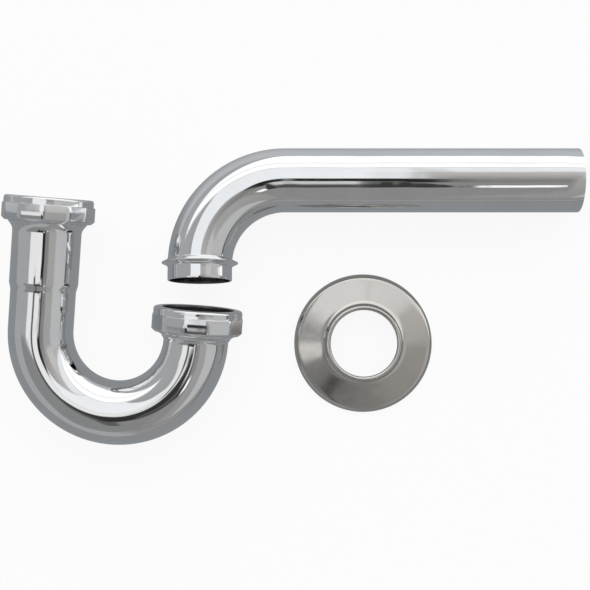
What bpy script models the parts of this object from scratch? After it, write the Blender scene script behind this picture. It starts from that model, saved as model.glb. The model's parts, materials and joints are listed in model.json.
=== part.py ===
"""Chrome tubular P trap, laid out on a bench as its three loose groups.

The J-bend with its two slip nuts lies at the left, the trap arm above and to its right, and the
wall flange face up below the arm. Metres, +Z up, bench top at Z = 0. The J-bend and the arm rest
on the bench on their widest rings, so both are tipped by a few degrees.
"""

import math

import bmesh
import bpy
from mathutils import Matrix, Quaternion, Vector

MM = 0.001

# Tube stock, 1-1/2 inch tubular brass (radii in mm)
TUBE_R = 19.05
TUBE_WALL = 1.15
SOCKET_R = 20.05            # swaged socket that a 1-1/2 inch tube slips into
SOCKET_BORE_R = 19.35

# J-bend, in its own plane: legs point up along its local Y, heights from the centre of the U
U_RADIUS = 46.4
SWAGE_HEIGHT = 24.6         # middle of the step where the inlet leg widens
SWAGE_LENGTH = 5.2
OUTLET_SWAGE_HEIGHT = 1.4
OUTLET_SWAGE_LENGTH = 3.0
INLET_NUT_BASE = 62.9       # underside of each nut
OUTLET_NUT_BASE = 5.0

# Slip joint stack, heights above the nut's underside
MOUTH = 9.0                 # end face of the leg and of its threaded collar
GAP = 0.3
WASHER_THICK = 2.8
WASHER_EDGE = 0.9           # straight part of its outer edge, below the bevel
WASHER_BEVEL = 1.4
WASHER_PLAY = 0.8           # to the bore of the nut
WASHER_HOLE_R = SOCKET_BORE_R + 0.9    # the spigot comes in a little aslant
RING_THICK = 0.5
RING_HOLE_R = SOCKET_BORE_R + 1.1
NUT_HEIGHT = 14.5
NUT_CHAMFER = 1.7
NUT_BAND_TOP = 10.0
NUT_SHOULDER = 12.8
LIP_UNDERSIDE = 13.2
NUT_SIDES = 12
NUT_CORNER_R = 27.3
NUT_FOOT_R = 25.1           # outer edge of its underside
NUT_TIER_R = 26.1
NUT_BORE_R = 24.0
NUT_HOLE_R = 21.0
THREAD_R = 23.6
THREAD_CHAMFER = 0.8
COLLAR_NECK_R = 22.9
COLLAR_NECK = 0.9           # from the nut's underside down to the flare of the skirt
COLLAR_FLARE = 1.15         # radius of the flare over its height
COLLAR_FLARE_TURN = 45      # degrees
COLLAR_EDGE = 0.3           # thickness of the skirt's lower edge
COLLAR_BORE_R = SOCKET_R + GAP
INLET_SKIRT = 6.0
OUTLET_SKIRT = 3.2
INLET_NUT_PHASE = math.radians(9.5)
OUTLET_NUT_PHASE = math.radians(-7.3)

# Where the J-bend lies: centre of the U, its lean on the bench and its tip towards the nuts
BEND_X, BEND_Y, BEND_Z = -102.9, -23.0, 23.73
BEND_LEAN = math.radians(-4.5)
BEND_TIP = math.radians(5.079)
BEND_ROLL = math.radians(-3.014)

# Trap arm: long leg along +X, short leg down along -Y before it rolls onto its bead
ARM_RADIUS = 50.6
ARM_END_X = 171.0
ARM_BEND_X = -3.8
ARM_Y = 68.9
BEAD_R = 22.6
BEAD_HALF = 1.3             # half its thickness, halfway down its flanks
BEAD_FLANK = ((-2.1, 0.0), (-1.0, 0.5), (-0.4, 1.0), (0.4, 1.0), (1.0, 0.5), (2.1, 0.0))
BEAD_DROP = 49.7            # bead's middle, below the long leg's axis
SPIGOT_DROP = 60.2          # end of the spigot, below the long leg's axis
SEATED_STANDOFF = 2.5       # gap between the seated bead and the tight nut, room to loosen it
SEATED_TWIST = math.radians(0.85)

# Wall flange, a shallow spun bell with a rolled inner lip
FLANGE_X, FLANGE_Y = 43.1, -28.4
FLANGE_RIM_R = 42.0
FLANGE_HOLE_R = 20.0
FLANGE_HEIGHT = 12.0
FLANGE_EDGE = 0.4           # straight part of the rim
FLANGE_SHOULDER_R = 4.6
FLANGE_SLOPE = 66           # degrees, where the shoulder runs out into the dome
FLANGE_LIP_R = 1.5
# Sections (radius, height) of the hollow below the lip, and of the inner face down to the rim
FLANGE_HOLLOW = ((26.6, 8.3), (24.6, 9.2), (23.3, 10.2))
FLANGE_INSIDE = ((21.0, 9.4), (24.0, 8.3), (26.4, 7.3), (38.7, 3.6), (41.0, 0.9), (41.1, 0.0))

ROUND = 32                  # sides of a tube or a turned ring
NUT_ROUND = 36              # a multiple of NUT_SIDES
FLANGE_ROUND = 48
U_STEPS = 20
ARM_STEPS = 10


def clear_scene():
    for obj in list(bpy.data.objects):
        bpy.data.objects.remove(obj, do_unlink=True)


def material(name, colour, metallic, roughness):
    mat = bpy.data.materials.new(name)
    mat.use_nodes = True
    shader = mat.node_tree.nodes["Principled BSDF"]
    shader.inputs["Base Color"].default_value = (*colour, 1.0)
    shader.inputs["Metallic"].default_value = metallic
    shader.inputs["Roughness"].default_value = roughness
    return mat


def empty(name, matrix, parent=None):
    """An axis marker: its Z is the joint's axis."""
    marker = bpy.data.objects.new(name, None)
    marker.empty_display_size = 10 * MM
    bpy.context.scene.collection.objects.link(marker)
    marker.parent = parent
    marker.matrix_world = matrix
    bpy.context.view_layer.update()
    return marker


def ring_mesh(name, rings, mat, parent):
    """A closed body from a loop of point rings, each joined to the next and the last to the first."""
    work = bmesh.new()
    loops = [[work.verts.new(point * MM) for point in ring] for ring in rings]
    for near, far in zip(loops, loops[1:] + loops[:1]):
        for i in range(len(near)):
            j = (i + 1) % len(near)
            work.faces.new((near[i], near[j], far[j], far[i]))
    bmesh.ops.recalc_face_normals(work, faces=work.faces)
    mesh = bpy.data.meshes.new(name)
    work.to_mesh(mesh)
    work.free()
    mesh.materials.append(mat)
    mesh.shade_smooth()
    mesh.set_sharp_from_angle(angle=math.radians(30))
    obj = bpy.data.objects.new(name, mesh)
    bpy.context.scene.collection.objects.link(obj)
    obj.parent = parent
    return obj


def circle(radius, height, sides):
    turn = 2 * math.pi / sides
    return [
        Vector((radius * math.cos(i * turn), radius * math.sin(i * turn), height))
        for i in range(sides)
    ]


def polygon(corner_radius, height, sides, points):
    """A regular polygon, a corner at angle 0, with as many points as the circles it joins."""
    half = math.pi / sides
    apothem = corner_radius * math.cos(half)
    outline = []
    for i in range(points):
        angle = i * 2 * math.pi / points
        radius = apothem / math.cos(angle % (2 * half) - half)
        outline.append(Vector((radius * math.cos(angle), radius * math.sin(angle), height)))
    return outline


def turned(name, profile, sides, mat, parent):
    """A ring turned about its parent's Z from a closed outline of (radius, height) points."""
    rings = [circle(radius, height, sides) for radius, height in profile]
    return ring_mesh(name, rings, mat, parent)


def arc_outline(centre, radius, start, end, steps):
    """Points (radius, height) on an arc in the turned section, angles in degrees."""
    points = []
    for i in range(steps + 1):
        angle = math.radians(start + (end - start) * i / steps)
        points.append((centre[0] + radius * math.cos(angle), centre[1] + radius * math.sin(angle)))
    return points


def swage_radius(height, middle, length, narrow, wide):
    """Radius of a leg that widens smoothly over a short length as it rises."""
    t = min(max((height - middle) / length + 0.5, 0.0), 1.0)
    return narrow + (wide - narrow) * t * t * (3 - 2 * t)


def leg_radii(height, middle, length):
    outer = swage_radius(height, middle, length, TUBE_R, SOCKET_R)
    inner = swage_radius(height, middle, length, TUBE_R - TUBE_WALL, SOCKET_BORE_R)
    return outer, inner


def tube(name, stations, mat, parent):
    """A pipe through stations of (centre, side, up, outer radius, inner radius)."""
    turn = 2 * math.pi / ROUND

    def section(centre, side, up, radius):
        return [
            centre + radius * (math.cos(i * turn) * side + math.sin(i * turn) * up)
            for i in range(ROUND)
        ]

    outside = [section(c, side, up, outer) for c, side, up, outer, _ in stations]
    inside = [section(c, side, up, inner) for c, side, up, _, inner in stations]
    return ring_mesh(name, outside + inside[::-1], mat, parent)


def bend_stations():
    """From the outlet mouth round the U to the inlet mouth, in the J-bend's plane."""
    up = Vector((0, 0, 1))
    right, left = Vector((1, 0, 0)), Vector((-1, 0, 0))
    stations = []
    half = OUTLET_SWAGE_LENGTH / 2
    steps = [OUTLET_SWAGE_HEIGHT + half * k for k in (1, 0.33, -0.33, -0.93)]
    for height in [OUTLET_NUT_BASE + MOUTH] + steps:
        radii = leg_radii(height, OUTLET_SWAGE_HEIGHT, OUTLET_SWAGE_LENGTH)
        stations.append((Vector((U_RADIUS, height, 0)), right, up, *radii))
    for i in range(1, U_STEPS + 1):
        angle = -math.pi * i / U_STEPS
        out = Vector((math.cos(angle), math.sin(angle), 0))
        stations.append((U_RADIUS * out, out, up, TUBE_R, TUBE_R - TUBE_WALL))
    half = SWAGE_LENGTH / 2
    steps = [SWAGE_HEIGHT + half * k for k in (-1, -0.4, 0, 0.4, 1)]
    for height in steps + [INLET_NUT_BASE + MOUTH]:
        radii = leg_radii(height, SWAGE_HEIGHT, SWAGE_LENGTH)
        stations.append((Vector((-U_RADIUS, height, 0)), left, up, *radii))
    return stations


def arm_stations():
    """From the open wall end, round the bend, over the bead to the spigot's end."""
    up = Vector((0, 0, 1))
    across = Vector((0, 1, 0))
    bore = TUBE_R - TUBE_WALL
    stations = [(Vector((ARM_END_X, 0, 0)), across, up, TUBE_R, bore)]
    centre = Vector((ARM_BEND_X, -ARM_RADIUS, 0))
    for i in range(ARM_STEPS):
        angle = math.radians(90) * i / ARM_STEPS
        out = Vector((-math.sin(angle), math.cos(angle), 0))
        stations.append((centre + ARM_RADIUS * out, out, up, TUBE_R, bore))
    left = Vector((-1, 0, 0))
    short_x = ARM_BEND_X - ARM_RADIUS
    for drop, rise in BEAD_FLANK:
        middle = Vector((short_x, -BEAD_DROP - drop * BEAD_HALF, 0))
        stations.append((middle, left, up, TUBE_R + rise * (BEAD_R - TUBE_R), bore))
    end = Vector((short_x, -SPIGOT_DROP, 0))
    stations.append((end, left, up, TUBE_R, bore))
    return stations


def collar_profile(skirt):
    """Threaded ring soldered over the socket, with a flared skirt below the nut."""
    radius = COLLAR_FLARE * (skirt - COLLAR_NECK)
    middle = (COLLAR_NECK_R - radius, -COLLAR_NECK)
    flare = arc_outline(middle, radius, 0, -COLLAR_FLARE_TURN, 2)
    return [
        (COLLAR_BORE_R, MOUTH),
        (THREAD_R - THREAD_CHAMFER, MOUTH),
        (THREAD_R, MOUTH - THREAD_CHAMFER),
        (THREAD_R, -GAP),
        *flare,
        (COLLAR_BORE_R + COLLAR_EDGE, -skirt),
        (COLLAR_BORE_R, -skirt),
    ]


def washer_profile():
    low, high = MOUTH + GAP, MOUTH + GAP + WASHER_THICK
    return [
        (WASHER_HOLE_R, high),
        (NUT_BORE_R - WASHER_PLAY - WASHER_BEVEL, high),
        (NUT_BORE_R - WASHER_PLAY, low + WASHER_EDGE),
        (NUT_BORE_R - WASHER_PLAY, low),
        (WASHER_HOLE_R, low),
    ]


def friction_ring_profile():
    low, high = LIP_UNDERSIDE - GAP - RING_THICK, LIP_UNDERSIDE - GAP
    inner, outer = RING_HOLE_R, NUT_BORE_R - WASHER_PLAY
    return [(inner, high), (outer, high), (outer, low), (inner, low)]


def nut(name, phase, mat, parent):
    """A twelve-sided band between a chamfer and a round shoulder, closed by an inner lip."""
    corner = NUT_HEIGHT - NUT_SHOULDER
    shoulder = arc_outline((NUT_TIER_R - corner, NUT_SHOULDER), corner, 90, 0, 3)
    rings = [circle(NUT_HOLE_R, NUT_HEIGHT, NUT_ROUND)]
    rings += [circle(radius, height, NUT_ROUND) for radius, height in shoulder]
    rings += [
        circle(NUT_TIER_R, NUT_BAND_TOP, NUT_ROUND),
        polygon(NUT_CORNER_R, NUT_BAND_TOP, NUT_SIDES, NUT_ROUND),
        polygon(NUT_CORNER_R, NUT_CHAMFER, NUT_SIDES, NUT_ROUND),
        circle(NUT_FOOT_R, 0, NUT_ROUND),
        circle(NUT_BORE_R, 0, NUT_ROUND),
        circle(NUT_BORE_R, LIP_UNDERSIDE, NUT_ROUND),
        circle(NUT_HOLE_R, LIP_UNDERSIDE, NUT_ROUND),
    ]
    body = ring_mesh(name, rings, mat, parent)
    body.rotation_euler.z = phase
    return body


def flange_outline():
    """Outer face from the rim over the dome to the rolled lip, then back along the inside."""
    edge = (FLANGE_RIM_R - FLANGE_SHOULDER_R, FLANGE_EDGE)
    lip = (FLANGE_HOLE_R + FLANGE_LIP_R, FLANGE_HEIGHT - FLANGE_LIP_R)
    shoulder = arc_outline(edge, FLANGE_SHOULDER_R, 0, FLANGE_SLOPE, 4)
    rolled = arc_outline(lip, FLANGE_LIP_R, 0, 180, 5)
    return [(FLANGE_RIM_R, 0.0), *shoulder, *FLANGE_HOLLOW, *rolled, *FLANGE_INSIDE]


def bend_placement():
    place = Matrix.Translation(Vector((BEND_X, BEND_Y, BEND_Z)) * MM)
    turn = Matrix.Rotation(BEND_LEAN, 4, "Z") @ Matrix.Rotation(BEND_TIP, 4, "X")
    return place @ turn @ Matrix.Rotation(BEND_ROLL, 4, "Y")


def leg_placement(bend, side, nut_base):
    """Frame at the middle of a nut's underside, with Z out along the leg."""
    foot = Matrix.Translation(Vector((side * U_RADIUS, nut_base, 0)) * MM)
    return bend @ foot @ Matrix.Rotation(math.radians(-90), 4, "X")


def arm_placement(shift):
    """The arm lying on its long leg and on the rim of its bead."""
    reach = math.hypot(BEAD_DROP, BEAD_R)
    roll = math.atan2(BEAD_R, BEAD_DROP) - math.asin(TUBE_R / reach)
    place = Matrix.Translation(Vector((shift / MM, ARM_Y, TUBE_R)) * MM)
    return place @ Matrix.Rotation(-roll, 4, "X")


def arm_seat(bend):
    """The arm's placement on the bench, and the one turn that carries it to its seat.

    The turn lines the spigot up with the socket and twists it a little in it. The arm lies where
    its way to the seat has no part along the turn's axis, so a hinge alone makes the whole move.
    """
    bead = Vector((ARM_BEND_X - ARM_RADIUS, -BEAD_DROP, 0)) * MM
    stand = OUTLET_NUT_BASE + NUT_HEIGHT + SEATED_STANDOFF + BEAD_HALF
    seat = bend @ (Vector((U_RADIUS, stand, 0)) * MM)
    socket = bend.to_3x3() @ Vector((0, -1, 0))
    arm = arm_placement(0.0)
    spigot = arm.to_3x3() @ Vector((0, -1, 0))
    turn = Quaternion(socket, SEATED_TWIST) @ spigot.rotation_difference(socket)
    axis, angle = turn.to_axis_angle()
    arm = arm_placement((seat - arm @ bead).dot(axis) / axis.x)
    way = seat - arm @ bead
    centre = (seat + arm @ bead) / 2 + axis.cross(way) / (2 * math.tan(angle / 2))
    return arm, centre, axis, angle


def axis_frame(point, axis):
    return Matrix.Translation(point) @ axis.to_track_quat("Z", "Y").to_matrix().to_4x4()


def build_leg(side_name, frame, skirt, phase, bend, chrome, rubber, nylon):
    """Collar, washer, friction ring and nut of one slip joint, about the leg's axis."""
    leg = empty(side_name + "_leg_axis", frame, bend)
    turned(side_name + "_collar", collar_profile(skirt), ROUND, chrome, leg)
    turned(side_name + "_washer", washer_profile(), ROUND, rubber, leg)
    turned(side_name + "_friction_ring", friction_ring_profile(), ROUND, nylon, leg)
    nut(side_name + "_slip_nut", phase, chrome, leg)
    return leg


def main():
    clear_scene()
    chrome = material("chrome_plate", (0.80, 0.81, 0.82), 1.0, 0.06)
    flange_plate = material("flange_plate", (0.74, 0.73, 0.70), 1.0, 0.16)
    rubber = material("washer_rubber", (0.03, 0.03, 0.03), 0.0, 0.7)
    nylon = material("friction_nylon", (0.05, 0.05, 0.05), 0.0, 0.4)

    bend_frame = bend_placement()
    bend = empty("bend_frame", bend_frame)
    tube("j_bend", bend_stations(), chrome, bend)
    inlet = leg_placement(bend_frame, -1, INLET_NUT_BASE)
    outlet = leg_placement(bend_frame, 1, OUTLET_NUT_BASE)
    parts = (bend, chrome, rubber, nylon)
    build_leg("inlet", inlet, INLET_SKIRT, INLET_NUT_PHASE, *parts)
    leg = build_leg("outlet", outlet, OUTLET_SKIRT, OUTLET_NUT_PHASE, *parts)

    arm_frame, centre, axis, _ = arm_seat(bend_frame)
    hinge = empty("arm_seat_axis", axis_frame(centre, axis), leg)
    tube("trap_arm", arm_stations(), chrome, empty("arm_frame", arm_frame, hinge))

    flange = empty("flange_axis", Matrix.Translation(Vector((FLANGE_X, FLANGE_Y, 0)) * MM))
    turned("wall_flange", flange_outline(), FLANGE_ROUND, flange_plate, flange)


main()
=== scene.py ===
"""Looks of the chrome P trap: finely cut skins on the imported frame, a pale bench and a soft studio.

The pieces are drawn in millimetres in their own frames, which come from the joints and mounts, and
are then placed in the frame's metres. +Z is up and the camera looks down from straight above.
"""

import json
import math

import bmesh
import bpy
from mathutils import Matrix, Vector


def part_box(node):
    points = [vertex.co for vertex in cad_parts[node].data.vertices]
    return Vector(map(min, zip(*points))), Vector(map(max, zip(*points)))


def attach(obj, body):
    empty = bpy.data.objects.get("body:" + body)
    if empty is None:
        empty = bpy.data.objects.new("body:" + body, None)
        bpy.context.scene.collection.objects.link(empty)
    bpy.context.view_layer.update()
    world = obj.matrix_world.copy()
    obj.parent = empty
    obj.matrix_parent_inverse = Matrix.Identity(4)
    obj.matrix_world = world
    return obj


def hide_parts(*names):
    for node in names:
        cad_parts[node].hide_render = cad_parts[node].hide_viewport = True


MM = 0.001

# Shapes that the frame's joints and mounts don't state, as in the CAD (mm)
TUBE_R, TUBE_WALL = 19.05, 1.15
SOCKET_R, SOCKET_BORE_R = 20.05, 19.35
SWAGE_HEIGHT, SWAGE_LENGTH = 24.6, 5.2              # where the inlet leg widens
OUTLET_SWAGE_HEIGHT, OUTLET_SWAGE_LENGTH = 1.4, 3.0
OUTLET_NUT_BASE = 5.0       # underside of the outlet nut, above the centre of the U
ARM_RADIUS = 50.6
BEAD_R, BEAD_DROP = 22.6, 49.7
SPIGOT_DROP = 60.2
CAD_ROUND = 32              # sides of a CAD tube: a rim mount lies in the middle of the first one

# Slip joint, heights above the nut's underside (mm)
MOUTH = 9.0                 # end face of the leg and of its threaded collar
GAP = 0.3
WASHER_THICK, WASHER_EDGE, WASHER_BEVEL, WASHER_PLAY = 2.8, 0.9, 1.4, 0.8
WASHER_HOLE_R = SOCKET_BORE_R + 0.9
RING_THICK, RING_HOLE_R = 0.5, SOCKET_BORE_R + 1.1
NUT_HEIGHT, NUT_CHAMFER, NUT_BAND_TOP, NUT_SHOULDER = 14.5, 1.7, 10.0, 12.8
LIP_UNDERSIDE = 13.2
NUT_SIDES = 12
NUT_CORNER_R, NUT_TIER_R, NUT_FOOT_R = 27.3, 26.1, 25.1
NUT_BORE_R, NUT_HOLE_R = 24.0, 21.0
NUT_PHASE = {"inlet": math.radians(24.5), "outlet": math.radians(7.7)}  # middle of a flat
THREAD_R, THREAD_PITCH, THREAD_DEPTH = 23.6, 25.4 / 11.5, 0.75
COLLAR_NECK_R, COLLAR_NECK = 22.9, 0.5
SKIRT = {"inlet": 6.0, "outlet": 3.2}

# Wall flange, (radius, height) in mm
FLANGE_RIM_R, FLANGE_HOLE_R, FLANGE_HEIGHT = 42.0, 20.0, 12.0
FLANGE_SHOULDER_R, FLANGE_EDGE, FLANGE_SLOPE = 4.6, 0.4, 66
FLANGE_LIP_R = 1.5
FLANGE_DOME_FOOT = (26.6, 8.3)      # where the straight dome starts to rise to the lip
FLANGE_DOME_REACH = 3.0
FLANGE_INSIDE = ((24.2, 8.2), (26.4, 7.3), (38.7, 3.6), (40.4, 2.2), (41.0, 0.9), (41.1, 0.25),
                 (41.4, 0.0))

# Softened edges of the skins (mm)
TUBE_EDGE = 0.25
NUT_EDGE = 0.22
BEAD_TIP, BEAD_FOOT = 0.5, 2.7      # half the bead's length along the tube, at its tip and foot
SOFT_CORNER = math.radians(12)      # a corner that turns less than this stays as it is

ROUND = 96
NUT_ROUND = 144             # a multiple of NUT_SIDES
FLANGE_ROUND = 160
U_STEPS = 96
ARM_STEPS, ARM_RUNS = 56, 16
THREAD_ROWS, SKIRT_ROWS = 64, 14

# Camera, straight above the layout (m)
CAMERA_HEIGHT = 0.700
CAMERA_X, CAMERA_Y = 0.0016, 0.0005   # what it looks at, at the height of the tubes' axes
CAMERA_BACK = 0.017         # it stands a little towards -Y of that
TUBE_AXIS_HEIGHT = 0.019
VIEW_WIDTH = 0.3512         # what it sees across at that height
SENSOR = 36.0

BENCH_HALF = 6.0
BENCH_DROP = 0.0002         # keeps the bench just clear of the lowest rims


# ---------------------------------------------------------------- node helpers

class Nodes:
    """Short calls for building a node tree. An input i3 is the fourth, and _ stands for a space."""

    def __init__(self, tree):
        self.tree = tree
        tree.nodes.clear()

    def new(self, kind, settings=None, **inputs):
        node = self.tree.nodes.new(kind)
        for key, value in (settings or {}).items():
            setattr(node, key, value)
        for key, value in inputs.items():
            by_number = key[0] == "i" and key[1:].isdigit()
            socket = node.inputs[int(key[1:]) if by_number else key.replace("_", " ")]
            if isinstance(value, bpy.types.NodeSocket):
                self.tree.links.new(value, socket)
            else:
                socket.default_value = value
        return node

    def math(self, operation, a, b=0.0):
        return self.new("ShaderNodeMath", {"operation": operation}, i0=a, i1=b).outputs[0]

    def smooth(self, value, low, high, start=0.0, end=1.0):
        node = self.new("ShaderNodeMapRange", {"interpolation_type": "SMOOTHSTEP"}, Value=value)
        node.inputs["From Min"].default_value = low
        node.inputs["From Max"].default_value = high
        node.inputs["To Min"].default_value = start
        node.inputs["To Max"].default_value = end
        return node.outputs[0]

    def window(self, value, low, high, soft):
        rise = self.smooth(value, low - soft, low + soft)
        return self.math("MULTIPLY", rise, self.smooth(value, high - soft, high + soft, 1.0, 0.0))

    def mix(self, factor, a, b):
        node = self.new("ShaderNodeMix", {"data_type": "RGBA"}, i0=factor, i6=a, i7=b)
        return node.outputs[2]

    def noise(self, coords, scale, detail=2.0, roughness=0.5):
        node = self.new("ShaderNodeTexNoise", None, Vector=coords, Scale=scale, Detail=detail)
        node.inputs["Roughness"].default_value = roughness
        return node.outputs["Fac"]


def grey(level, warmth=0.0):
    return (level * (1 + warmth), level, level * (1 - warmth), 1.0)


# ---------------------------------------------------------------- materials

def plated(name, tint, rough_low, rough_high, ripple, ripple_size, grain=0.0):
    """Bright plate: slow ripples left by forming, fine polishing grain, faint smudges."""
    mat = bpy.data.materials.new(name)
    mat.use_nodes = True
    n = Nodes(mat.node_tree)
    place = n.new("ShaderNodeTexCoord").outputs["Object"]
    smudge = n.noise(place, 45.0, 4.0, 0.6)
    low, high = [c * 0.96 for c in tint], tint
    colour = n.mix(n.smooth(smudge, 0.35, 0.65), (*low, 1.0), (*high, 1.0))
    rough = n.smooth(n.noise(place, 160.0, 5.0, 0.65), 0.3, 0.7, rough_low, rough_high)
    wave = n.noise(place, 1.0 / ripple_size, 1.0, 0.4)
    bump = n.new("ShaderNodeBump", None, Height=wave, Strength=1.0, Distance=ripple)
    if grain:
        fine = n.noise(place, 2600.0, 2.0, 0.7)
        bump = n.new("ShaderNodeBump", None, Height=fine, Strength=1.0, Distance=grain,
                     Normal=bump.outputs[0])
    shader = n.new("ShaderNodeBsdfPrincipled", None, Base_Color=colour, Roughness=rough,
                   Normal=bump.outputs[0])
    shader.inputs["Metallic"].default_value = 1.0
    n.new("ShaderNodeOutputMaterial", None, Surface=shader.outputs[0])
    return mat


def painted_shade_inside():
    """Drawn tube inside: dull, stained metal with streaks, its base colour darkened as painted shade
    inside the bores.
    """
    mat = bpy.data.materials.new("painted_shade_inside")
    mat.use_nodes = True
    n = Nodes(mat.node_tree)
    place = n.new("ShaderNodeTexCoord").outputs["Object"]
    stain = n.noise(place, 90.0, 5.0, 0.65)
    # painted shade: the dark greys stand in for the shade inside the tubes and nut bores; the mottle
    # between them is stain
    colour = n.mix(n.smooth(stain, 0.35, 0.7), (0.10, 0.10, 0.11, 1.0), (0.26, 0.26, 0.27, 1.0))
    rough = n.smooth(stain, 0.3, 0.7, 0.22, 0.42)
    bump = n.new("ShaderNodeBump", None, Height=n.noise(place, 420.0, 3.0), Strength=0.6,
                 Distance=0.00006)
    shader = n.new("ShaderNodeBsdfPrincipled", None, Base_Color=colour, Roughness=rough,
                   Normal=bump.outputs[0])
    shader.inputs["Metallic"].default_value = 1.0
    n.new("ShaderNodeOutputMaterial", None, Surface=shader.outputs[0])
    return mat


def moulded(name, dark, light, rough, grain):
    """Moulded rubber or nylon: mottled colour and a fine matt skin."""
    mat = bpy.data.materials.new(name)
    mat.use_nodes = True
    n = Nodes(mat.node_tree)
    place = n.new("ShaderNodeTexCoord").outputs["Object"]
    mottle = n.noise(place, 300.0, 4.0, 0.6)
    colour = n.mix(mottle, (*dark, 1.0), (*light, 1.0))
    roughness = n.smooth(mottle, 0.3, 0.7, rough - 0.08, rough + 0.08)
    skin = n.noise(place, 2200.0, 3.0, 0.7)
    bump = n.new("ShaderNodeBump", None, Height=skin, Strength=0.7, Distance=grain)
    shader = n.new("ShaderNodeBsdfPrincipled", None, Base_Color=colour, Roughness=roughness,
                   Normal=bump.outputs[0])
    n.new("ShaderNodeOutputMaterial", None, Surface=shader.outputs[0])
    return mat


# ---------------------------------------------------------------- mesh helpers

def skin(name, rings, mats, inside_from=None):
    """A smooth body from a loop of point rings in mm. Rings from inside_from on take mats[1]."""
    work = bmesh.new()
    loops = [[work.verts.new(Vector(p) * MM) for p in ring] for ring in rings]
    for row, (near, far) in enumerate(zip(loops, loops[1:] + loops[:1])):
        inner = inside_from is not None and inside_from <= row < len(loops) - 1
        for i in range(len(near)):
            j = (i + 1) % len(near)
            face = work.faces.new((near[i], near[j], far[j], far[i]))
            face.material_index = int(inner)
    bmesh.ops.recalc_face_normals(work, faces=work.faces)
    mesh = bpy.data.meshes.new(name)
    work.to_mesh(mesh)
    work.free()
    for mat in mats:
        mesh.materials.append(mat)
    mesh.shade_smooth()
    mesh.set_sharp_from_angle(angle=math.radians(25))
    obj = bpy.data.objects.new(name, mesh)
    bpy.context.scene.collection.objects.link(obj)
    return obj


def circle(radius, height, sides):
    turn = 2 * math.pi / sides
    return [(radius * math.cos(i * turn), radius * math.sin(i * turn), height)
            for i in range(sides)]


def arc(centre, radius, start, end, steps):
    """Points (radius, height) on an arc of a turned outline, angles in degrees."""
    angles = [math.radians(start + (end - start) * i / steps) for i in range(steps + 1)]
    return [(centre[0] + radius * math.cos(a), centre[1] + radius * math.sin(a)) for a in angles]


def rounded(outline, radius, steps=4):
    """The closed outline with each corner turned into an arc."""
    count = len(outline)
    made = []
    for i, point in enumerate(outline):
        p = Vector(point)
        back, ahead = Vector(outline[i - 1]) - p, Vector(outline[(i + 1) % count]) - p
        turn = math.pi - back.angle(ahead)
        if turn < SOFT_CORNER:
            made.append(tuple(p))
            continue
        reach = min(radius * math.tan(turn / 2), back.length * 0.45, ahead.length * 0.45)
        first, last = p + back.normalized() * reach, p + ahead.normalized() * reach
        for k in range(steps + 1):
            t = k / steps
            made.append(tuple(first * (1 - t) ** 2 + p * 2 * t * (1 - t) + last * t * t))
    return made


def turned(name, outline, sides, mats, inside_from=None):
    return skin(name, [circle(r, h, sides) for r, h in outline], mats, inside_from)


def section(centre, side, up, radius):
    turn = 2 * math.pi / ROUND
    return [centre + radius * (math.cos(i * turn) * side + math.sin(i * turn) * up)
            for i in range(ROUND)]


def pipe(name, stations, mats):
    """A tube through (centre, side, up, outer radius, inner radius), with rounded ends."""
    edge = TUBE_EDGE
    # how far each rim stands back from the end, and how much it is trimmed on the outside
    rims = ((2.2 * edge, 0.0), (edge, 0.07), (edge * 0.3, edge * 0.35), (0.0, edge))
    inner_share = 0.6

    def end(station, neighbour):
        centre, side, up, outer, inner = station
        along = (centre - neighbour[0]).normalized()
        return [(centre - along * back, side, up, outer - trim, inner + trim * inner_share)
                for back, trim in rims]

    head = end(stations[0], stations[1])[::-1]
    tail = end(stations[-1], stations[-2])
    whole = head + stations[1:-1] + tail
    outside = [section(c, s, u, outer) for c, s, u, outer, _ in whole]
    inside = [section(c, s, u, inner) for c, s, u, _, inner in whole]
    return skin(name, outside + inside[::-1], mats, inside_from=len(outside))


def ease(t):
    t = min(max(t, 0.0), 1.0)
    return t * t * (3 - 2 * t)


# ---------------------------------------------------------------- frames of the three groups

def joint(frame, name):
    return next(j for j in frame["joints"] if j["name"] == name)


def mount(frame, name):
    return next(m for m in frame["record"]["mounts"] if m["name"] == name)


def basis(x, y, z, origin):
    placed = Matrix((x, y, z)).transposed().to_4x4()
    placed.translation = origin
    return placed


def bend_frames(frame):
    """The J-bend's own frame, one frame on each nut's underside, the U's radius and leg heights."""
    inlet, outlet = joint(frame, "inlet_nut_turn"), joint(frame, "outlet_nut_turn")
    up = Vector(inlet["axis"]).normalized()
    low, high = Vector(outlet["pos_m"]), Vector(inlet["pos_m"])
    rise = (high - low).dot(up)
    across = low - high + up * rise
    right = across.normalized()
    normal = right.cross(up)
    radius = across.length / 2
    centre = low - right * radius - up * OUTLET_NUT_BASE * MM
    bend = basis(right, up, normal, centre)
    legs = {"inlet": basis(right, -normal, up, high), "outlet": basis(right, -normal, up, low)}
    return bend, legs, radius / MM, OUTLET_NUT_BASE + rise / MM


def arm_frame(frame):
    """The arm's own frame: X along the long leg, -Y out of the spigot, origin on the long axis."""
    wall, spigot = mount(frame, "arm_wall_end_face"), mount(frame, "arm_spigot_face")
    x, y = Vector(wall["axis"]).normalized(), -Vector(spigot["axis"]).normalized()
    z = x.cross(y)
    tilt = math.pi / CAD_ROUND
    rim = (TUBE_R - TUBE_WALL / 2) * math.cos(tilt) * MM
    far = Vector(wall["pos_m"]) - rim * (math.cos(tilt) * y + math.sin(tilt) * z)
    tip = Vector(spigot["pos_m"]) + rim * (math.cos(tilt) * x - math.sin(tilt) * z)
    corner = tip + y * SPIGOT_DROP * MM
    return basis(x, y, z, corner), (far - corner).length / MM


# ---------------------------------------------------------------- pieces

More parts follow.
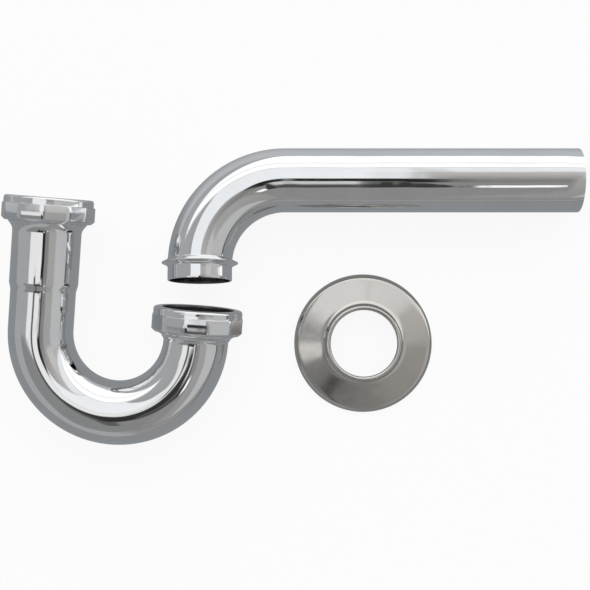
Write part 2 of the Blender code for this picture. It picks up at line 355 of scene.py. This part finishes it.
def bend_stations(radius, inlet_base):
    """From the outlet mouth round the U to the inlet mouth, in the J-bend's plane."""
    up = Vector((0, 0, 1))
    right, left = Vector((1, 0, 0)), Vector((-1, 0, 0))

    def leg(x, side, heights, middle, length):
        for h in heights:
            t = ease((h - middle) / length + 0.5)
            outer = TUBE_R + (SOCKET_R - TUBE_R) * t
            inner = TUBE_R - TUBE_WALL + (SOCKET_BORE_R - TUBE_R + TUBE_WALL) * t
            yield Vector((x, h, 0)), side, up, outer, inner

    mouth = OUTLET_NUT_BASE + MOUTH
    heights = [mouth, mouth - 1.0, mouth - 5.0]
    low = OUTLET_SWAGE_HEIGHT - OUTLET_SWAGE_LENGTH / 2
    heights += [low + OUTLET_SWAGE_LENGTH * k / 8 for k in range(8, -1, -1)]
    stations = list(leg(radius, right, heights, OUTLET_SWAGE_HEIGHT, OUTLET_SWAGE_LENGTH))
    for i in range(1, U_STEPS + 1):
        angle = -math.pi * i / U_STEPS
        out = Vector((math.cos(angle), math.sin(angle), 0))
        stations.append((radius * out, out, up, TUBE_R, TUBE_R - TUBE_WALL))
    low, mouth = SWAGE_HEIGHT - SWAGE_LENGTH / 2, inlet_base + MOUTH
    heights = [low * k / 6 for k in range(1, 6)]
    heights += [low + SWAGE_LENGTH * k / 12 for k in range(13)]
    top = low + SWAGE_LENGTH
    heights += [top + (mouth - top) * k / 9 for k in range(1, 10)]
    return stations + list(leg(-radius, left, heights, SWAGE_HEIGHT, SWAGE_LENGTH))


def arm_stations(end_x):
    """From the open wall end, round the bend, over the bead to the spigot's end."""
    up, across = Vector((0, 0, 1)), Vector((0, 1, 0))
    bore = TUBE_R - TUBE_WALL
    run = ARM_RADIUS - end_x
    stations = [(Vector((end_x + run * k / ARM_RUNS, 0, 0)), across, up, TUBE_R, bore)
                for k in range(ARM_RUNS)]
    centre = Vector((ARM_RADIUS, -ARM_RADIUS, 0))
    for i in range(ARM_STEPS):
        angle = math.pi / 2 * i / ARM_STEPS
        out = Vector((-math.sin(angle), math.cos(angle), 0))
        stations.append((centre + ARM_RADIUS * out, out, up, TUBE_R, bore))
    left = Vector((-1, 0, 0))
    step, crown = 0.1, 0.12     # the crown is the share of the bead's height in its round tip
    for drop in [k * step - BEAD_FOOT for k in range(round(2 * BEAD_FOOT / step) + 1)]:
        tip = math.sqrt(max(0.0, 1 - (drop / BEAD_TIP) ** 2)) * crown
        flank = min(1.0, (BEAD_FOOT - abs(drop)) / (BEAD_FOOT - BEAD_TIP)) ** 1.7
        outer = TUBE_R + (BEAD_R - TUBE_R) * ((1 - crown) * flank + tip)
        stations.append((Vector((0, -BEAD_DROP - drop, 0)), left, up, outer, bore))
    for k in range(1, 5):
        drop = BEAD_DROP + BEAD_FOOT + (SPIGOT_DROP - BEAD_DROP - BEAD_FOOT) * k / 4
        stations.append((Vector((0, -drop, 0)), left, up, TUBE_R, bore))
    return stations


def collar_rings(skirt):
    """A flared skirt that dies into the tube, then a helical thread up to the mouth."""
    rings = [circle(SOCKET_R + 0.02, -skirt, ROUND)]
    for k in range(1, SKIRT_ROWS + 1):
        t = k / SKIRT_ROWS
        flare = (1 - math.cos(t * math.pi / 2)) ** 1.15
        radius = SOCKET_R + 0.05 + (COLLAR_NECK_R - SOCKET_R) * flare
        rings.append(circle(radius, -skirt + (skirt - COLLAR_NECK) * t, ROUND))
    low, high = 0.2, MOUTH - 0.5
    run_in, run_out = 6, 8      # rows over which the thread rises and dies
    for k in range(THREAD_ROWS + 1):
        height = low + (high - low) * k / THREAD_ROWS
        fade = min(1.0, k / run_in, (THREAD_ROWS - k) / run_out)
        ring = []
        for i in range(ROUND):
            turn = i / ROUND
            phase = (height / THREAD_PITCH - turn) % 1.0
            crest = min(1.0, max(0.0, 1.25 - 2.6 * abs(phase - 0.5)))
            radius = THREAD_R - THREAD_DEPTH * (1 - crest * fade)
            angle = 2 * math.pi * turn
            ring.append((radius * math.cos(angle), radius * math.sin(angle), height))
        rings.append(ring)
    bore = SOCKET_R + 0.1
    ends = ((THREAD_R - THREAD_DEPTH - 0.3, MOUTH), (bore, MOUTH), (bore, 0.0))
    return rings + [circle(radius, height, ROUND) for radius, height in ends]


def nut(name, phase, mats):
    """Twelve flats between a bottom chamfer and a round shoulder, with softened edges."""
    corner = NUT_HEIGHT - NUT_SHOULDER
    half = math.pi / NUT_SIDES
    apothem = NUT_CORNER_R * math.cos(half)
    corner_trim = 0.12

    def ring(radius_at, height):
        points = []
        for i in range(NUT_ROUND):
            angle = i * 2 * math.pi / NUT_ROUND
            radius, turn = radius_at(angle), angle + phase
            points.append((radius * math.cos(turn), radius * math.sin(turn), height))
        return points

    def flats(height, shrink=0.0, cap=0.0):
        def radius_at(angle):
            flat = (apothem - shrink) / math.cos((angle + half) % (2 * half) - half)
            return min(flat, NUT_CORNER_R - corner_trim - cap)
        return ring(radius_at, height)

    def rounds(outline):
        return [ring(lambda angle: radius, height) for radius, height in outline]

    edge = NUT_EDGE
    crown = [(NUT_HOLE_R + 0.35, NUT_HEIGHT)]
    crown += arc((NUT_TIER_R - corner, NUT_SHOULDER), corner, 90, 0, 10)
    crown += [(NUT_TIER_R, NUT_BAND_TOP + 0.35), (NUT_TIER_R + 0.08, NUT_BAND_TOP + 0.1),
              (NUT_TIER_R + 0.28, NUT_BAND_TOP)]
    band = [flats(NUT_BAND_TOP, edge, edge),
            flats(NUT_BAND_TOP - edge * 0.35, edge * 0.3, edge * 0.3),
            flats(NUT_BAND_TOP - edge),
            flats(NUT_CHAMFER + edge),
            flats(NUT_CHAMFER + edge * 0.2, edge * 0.25, edge * 0.3),
            flats(NUT_CHAMFER - edge, edge * 1.1, edge * 1.2)]
    foot = [(NUT_FOOT_R + 0.35, 0.35), (NUT_FOOT_R + 0.1, 0.08), (NUT_FOOT_R - 0.2, 0.0),
            (NUT_BORE_R + 0.3, 0.0)]
    bore = [(NUT_BORE_R, 0.3), (NUT_BORE_R, LIP_UNDERSIDE), (NUT_HOLE_R, LIP_UNDERSIDE),
            (NUT_HOLE_R, NUT_HEIGHT - 0.35), (NUT_HOLE_R + 0.1, NUT_HEIGHT - 0.1)]
    outside = rounds(crown) + band + rounds(foot)
    return skin(name, outside + rounds(bore), mats, inside_from=len(outside))


def washer_outline():
    low, high = MOUTH + GAP, MOUTH + GAP + WASHER_THICK
    outer = NUT_BORE_R - WASHER_PLAY
    corners = [(WASHER_HOLE_R, high), (outer - WASHER_BEVEL, high), (outer, low + WASHER_EDGE),
               (outer, low), (WASHER_HOLE_R, low)]
    return rounded(corners, 0.3)


def friction_ring_outline():
    low, high = LIP_UNDERSIDE - GAP - RING_THICK, LIP_UNDERSIDE - GAP
    inner, outer = RING_HOLE_R, NUT_BORE_R - WASHER_PLAY
    return rounded([(inner, high), (outer, high), (outer, low), (inner, low)], 0.15)


def flange_outline():
    """Rim, shoulder, straight dome, its hollow rise into the rolled lip, then the inside."""
    lip_r = FLANGE_LIP_R
    lip = (FLANGE_HOLE_R + lip_r, FLANGE_HEIGHT - lip_r)
    edge = (FLANGE_RIM_R - FLANGE_SHOULDER_R, FLANGE_EDGE)
    shoulder = arc(edge, FLANGE_SHOULDER_R, 0, FLANGE_SLOPE, 18)
    start, foot = Vector(shoulder[-1]), Vector(FLANGE_DOME_FOOT)
    end = Vector((lip[0] + lip_r, lip[1]))
    bend = foot + (foot - start).normalized() * FLANGE_DOME_REACH
    straight = [tuple(start.lerp(foot, k / 8)) for k in range(1, 8)]
    steps = 14
    hollow = []
    for k in range(steps + 1):
        t = k / steps
        hollow.append(tuple(foot * (1 - t) ** 2 + bend * 2 * t * (1 - t) + end * t * t))
    rolled = arc(lip, lip_r, 0, 200, 16)[1:] + [(lip[0] - 0.2, lip[1] - 1.0)]
    rim = [(FLANGE_RIM_R - 0.2, 0.0), (FLANGE_RIM_R, 0.2)]
    return rim + shoulder + straight + hollow + rolled + list(FLANGE_INSIDE)


# ---------------------------------------------------------------- studio

def bench():
    """A pale plane that glows evenly for the camera; to glossy rays it shows a painted reflection, a
    greyer card, darker towards -Y, where the chrome mirrors it.
    """
    mesh = bpy.data.meshes.new("bench_top")
    half = BENCH_HALF
    mesh.from_pydata([(-half, -half, 0), (half, -half, 0), (half, half, 0), (-half, half, 0)], [],
                     [(0, 1, 2, 3)])
    mat = bpy.data.materials.new("pale_card")
    mat.use_nodes = True
    n = Nodes(mat.node_tree)
    rays = n.new("ShaderNodeLightPath")
    place = n.new("ShaderNodeTexCoord").outputs["Object"]
    y = n.new("ShaderNodeSeparateXYZ", None, Vector=place).outputs[1]
    # painted reflection: the chrome sees the bench as a darker grey card that lightens towards +Y,
    # not the white the camera sees
    painted_reflection_grey = n.mix(n.smooth(y, 0.04, 0.16), grey(0.30, -0.04), grey(0.56, -0.02))
    seen = n.new("ShaderNodeEmission", None, Color=(1.0, 1.0, 1.0, 1.0), Strength=1.06)
    card = n.new("ShaderNodeBsdfDiffuse", None, Color=(0.86, 0.86, 0.86, 1.0))
    pale = n.new("ShaderNodeMixShader", None, i0=0.16, i1=seen.outputs[0], i2=card.outputs[0])
    dim = n.new("ShaderNodeEmission", None, Color=painted_reflection_grey, Strength=1.0)
    both = n.new("ShaderNodeMixShader", None, i0=rays.outputs["Is Glossy Ray"],
                 i1=pale.outputs[0], i2=dim.outputs[0])
    n.new("ShaderNodeOutputMaterial", None, Surface=both.outputs[0])
    mesh.materials.append(mat)
    obj = bpy.data.objects.new("bench_top", mesh)
    obj.location.z = -BENCH_DROP
    bpy.context.scene.collection.objects.link(obj)


# Cards of the studio as mirrored from the bench: sideways and upward limits from the zenith in
# degrees (+X, +Y), softness of the edges, level at the lower and the upper limit, warmth, and how
# fast the upper limit falls towards +X. A later card hides an earlier one.
CARDS = (
    ("far wall", -62, 180, 38.5, 102, 3.0, 1.25, 1.25, 0.01, 0.0),
    ("key softbox", -29, 7, -0.5, 39.5, 1.3, 1.02, 1.00, -0.02, 0.0),
    ("right top", 7, 90, 21.5, 39.5, 3.0, 0.90, 1.00, -0.01, 0.0),
    ("right card", 6, 90, -12.5, 22.5, 2.5, 0.24, 0.56, 0.03, 0.0),
    ("seam low", -180, 180, 39.3, 40.3, 0.5, 0.50, 0.50, 0.0, 0.0),
    ("seam high", -180, 180, 56.8, 58.0, 0.5, 0.50, 0.50, 0.03, 0.0),
    ("left floor", -60, 0, -70, -13, 3.0, 0.27, 0.27, 0.0, 0.0),
    ("left window", -41, 0, -12.5, -0.5, 1.5, 0.95, 0.92, 0.01, 0.0),
    ("window bar", -23, -17, -45, -7.5, 1.0, 0.12, 0.12, 0.0, 0.0),
    ("right bounce", 20, 46, -72, 4, 4.0, 0.34, 0.42, 0.02, 0.0),
    ("right sill", 26, 46, -2, 20, 3.0, 0.58, 0.62, 0.02, 0.0),
    ("right blind", 44, 88, -72, 10, 4.0, 0.54, 0.56, 0.0, 0.0),
    ("door edge", 84, 90, -88, 30, 1.5, 0.10, 0.10, 0.0, 0.0),
    ("horizon", -180, 180, -84, -82, 0.8, 0.42, 0.42, 0.0, 0.0),
    ("photographer", -20, 0, -30, -12, 1.5, 0.03, 0.04, 0.0, 0.0),
    ("strap", 4, 8, -14, -2, 1.5, 0.02, 0.03, 0.0, 0.0),
    ("arm raised", -0.7, 6, -10.5, -0.5, 1.0, 0.015, 0.03, 0.02, 0.0),
    ("shirt", -0.7, 4.5, -20, -10.5, 1.2, 0.66, 0.70, 0.01, 0.0),
    ("tripod", -12, 4, -32.5, -23, 1.2, 0.08, 0.10, 0.0, 0.0),
    ("table edge", 4, 13, -32.5, -9, 1.0, 0.045, 0.045, 0.0, 3.2),
    ("lamp", 10.2, 15.5, -32, -24.5, 0.8, 1.20, 1.20, 0.0, 0.0),
)


def studio():
    world = bpy.data.worlds.new("studio")
    bpy.context.scene.world = world
    world.use_nodes = True
    n = Nodes(world.node_tree)
    way = n.new("ShaderNodeTexCoord").outputs["Generated"]
    x, y, z = n.new("ShaderNodeSeparateXYZ", None, Vector=way).outputs
    to_degrees = 180 / math.pi
    u = n.math("MULTIPLY", n.math("ARCTAN2", x, z), to_degrees)
    v = n.math("MULTIPLY", n.math("ARCTAN2", y, z), to_degrees)
    colour = n.mix(n.smooth(u, -50, 10), grey(0.42, -0.02), grey(0.29, 0.02))
    for _, left, right, low, high, soft, dim, bright, warmth, fall in CARDS:
        top = n.math("ADD", v, n.math("MULTIPLY", n.math("SUBTRACT", u, left), fall))
        tall = n.math("MULTIPLY", n.smooth(v, low - soft, low + soft),
                      n.smooth(top, high - soft, high + soft, 1.0, 0.0))
        mask = n.math("MULTIPLY", n.window(u, left, right, soft), tall)
        shade = n.mix(n.smooth(v, low, high), grey(dim, warmth), grey(bright, warmth))
        colour = n.mix(mask, colour, shade)
    room = n.new("ShaderNodeBackground", None, Color=colour, Strength=1.0)
    backdrop = n.new("ShaderNodeBackground", None, Color=grey(0.97), Strength=1.0)
    rays = n.new("ShaderNodeLightPath")
    shown = n.new("ShaderNodeMixShader", None, i0=rays.outputs["Is Camera Ray"],
                  i1=room.outputs[0], i2=backdrop.outputs[0])
    n.new("ShaderNodeOutputWorld", None, Surface=shown.outputs[0])


def camera():
    data = bpy.data.cameras.new("camera")
    data.sensor_width = SENSOR
    data.lens = SENSOR * (CAMERA_HEIGHT - TUBE_AXIS_HEIGHT) / VIEW_WIDTH
    obj = bpy.data.objects.new("camera", data)
    obj.location = (CAMERA_X, CAMERA_Y - CAMERA_BACK, CAMERA_HEIGHT)
    obj.rotation_euler.x = math.atan2(CAMERA_BACK, CAMERA_HEIGHT - TUBE_AXIS_HEIGHT)
    bpy.context.scene.collection.objects.link(obj)
    bpy.context.scene.camera = obj


# ---------------------------------------------------------------- assembly

def stand_in(piece, placed, node, body):
    piece.data.transform(placed)
    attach(piece, body)
    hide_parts(node)


def build(frame):
    chrome = plated("chrome_plate", (0.83, 0.84, 0.85), 0.03, 0.07, 0.00022, 0.022)
    nut_plate = plated("nut_plate", (0.80, 0.81, 0.82), 0.05, 0.11, 0.00006, 0.010, 0.000004)
    flange_plate = plated("flange_plate", (0.63, 0.61, 0.58), 0.10, 0.18, 0.0001, 0.03, 0.000003)
    inside = painted_shade_inside()
    rubber = moulded("washer_rubber", (0.018, 0.018, 0.018), (0.04, 0.04, 0.04), 0.62, 0.00004)
    nylon = moulded("friction_nylon", (0.03, 0.03, 0.03), (0.07, 0.07, 0.07), 0.42, 0.00001)

    bend, legs, radius, inlet_base = bend_frames(frame)
    tube = pipe("bend_tube", bend_stations(radius, inlet_base), [chrome, inside])
    stand_in(tube, bend, "j_bend", "bend")
    for side, placed in legs.items():
        ring_body, nut_body = side + "_ring", side + "_nut"
        washer_body = "bend" if side == "inlet" else "outlet_seal"
        collar = skin(side + "_threaded_collar", collar_rings(SKIRT[side]), [chrome])
        stand_in(collar, placed, side + "_collar", "bend")
        washer = turned(side + "_rubber_washer", washer_outline(), ROUND, [rubber])
        stand_in(washer, placed, side + "_washer", washer_body)
        ring = turned(side + "_nylon_ring", friction_ring_outline(), ROUND, [nylon])
        stand_in(ring, placed, side + "_friction_ring", ring_body)
        body = nut(side + "_nut", NUT_PHASE[side], [nut_plate, inside])
        stand_in(body, placed, side + "_slip_nut", nut_body)

    placed, end_x = arm_frame(frame)
    arm = pipe("arm_tube", arm_stations(end_x), [chrome, inside])
    stand_in(arm, placed, "trap_arm", "arm")

    low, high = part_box("wall_flange")
    flange = turned("bell_flange", flange_outline(), FLANGE_ROUND, [flange_plate])
    centre = Matrix.Translation(((low.x + high.x) / 2, (low.y + high.y) / 2, low.z))
    stand_in(flange, centre, "wall_flange", "flange")


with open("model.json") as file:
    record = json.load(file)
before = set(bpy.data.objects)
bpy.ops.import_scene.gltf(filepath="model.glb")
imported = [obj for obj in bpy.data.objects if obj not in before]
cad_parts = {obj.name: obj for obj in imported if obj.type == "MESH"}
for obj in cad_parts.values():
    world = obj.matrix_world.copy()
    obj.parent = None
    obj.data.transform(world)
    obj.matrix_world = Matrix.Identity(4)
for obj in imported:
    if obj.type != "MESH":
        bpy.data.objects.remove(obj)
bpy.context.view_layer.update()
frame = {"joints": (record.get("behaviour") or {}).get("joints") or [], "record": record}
bpy.context.scene.view_settings.view_transform = "Standard"
build(frame)
bench()
studio()
camera()
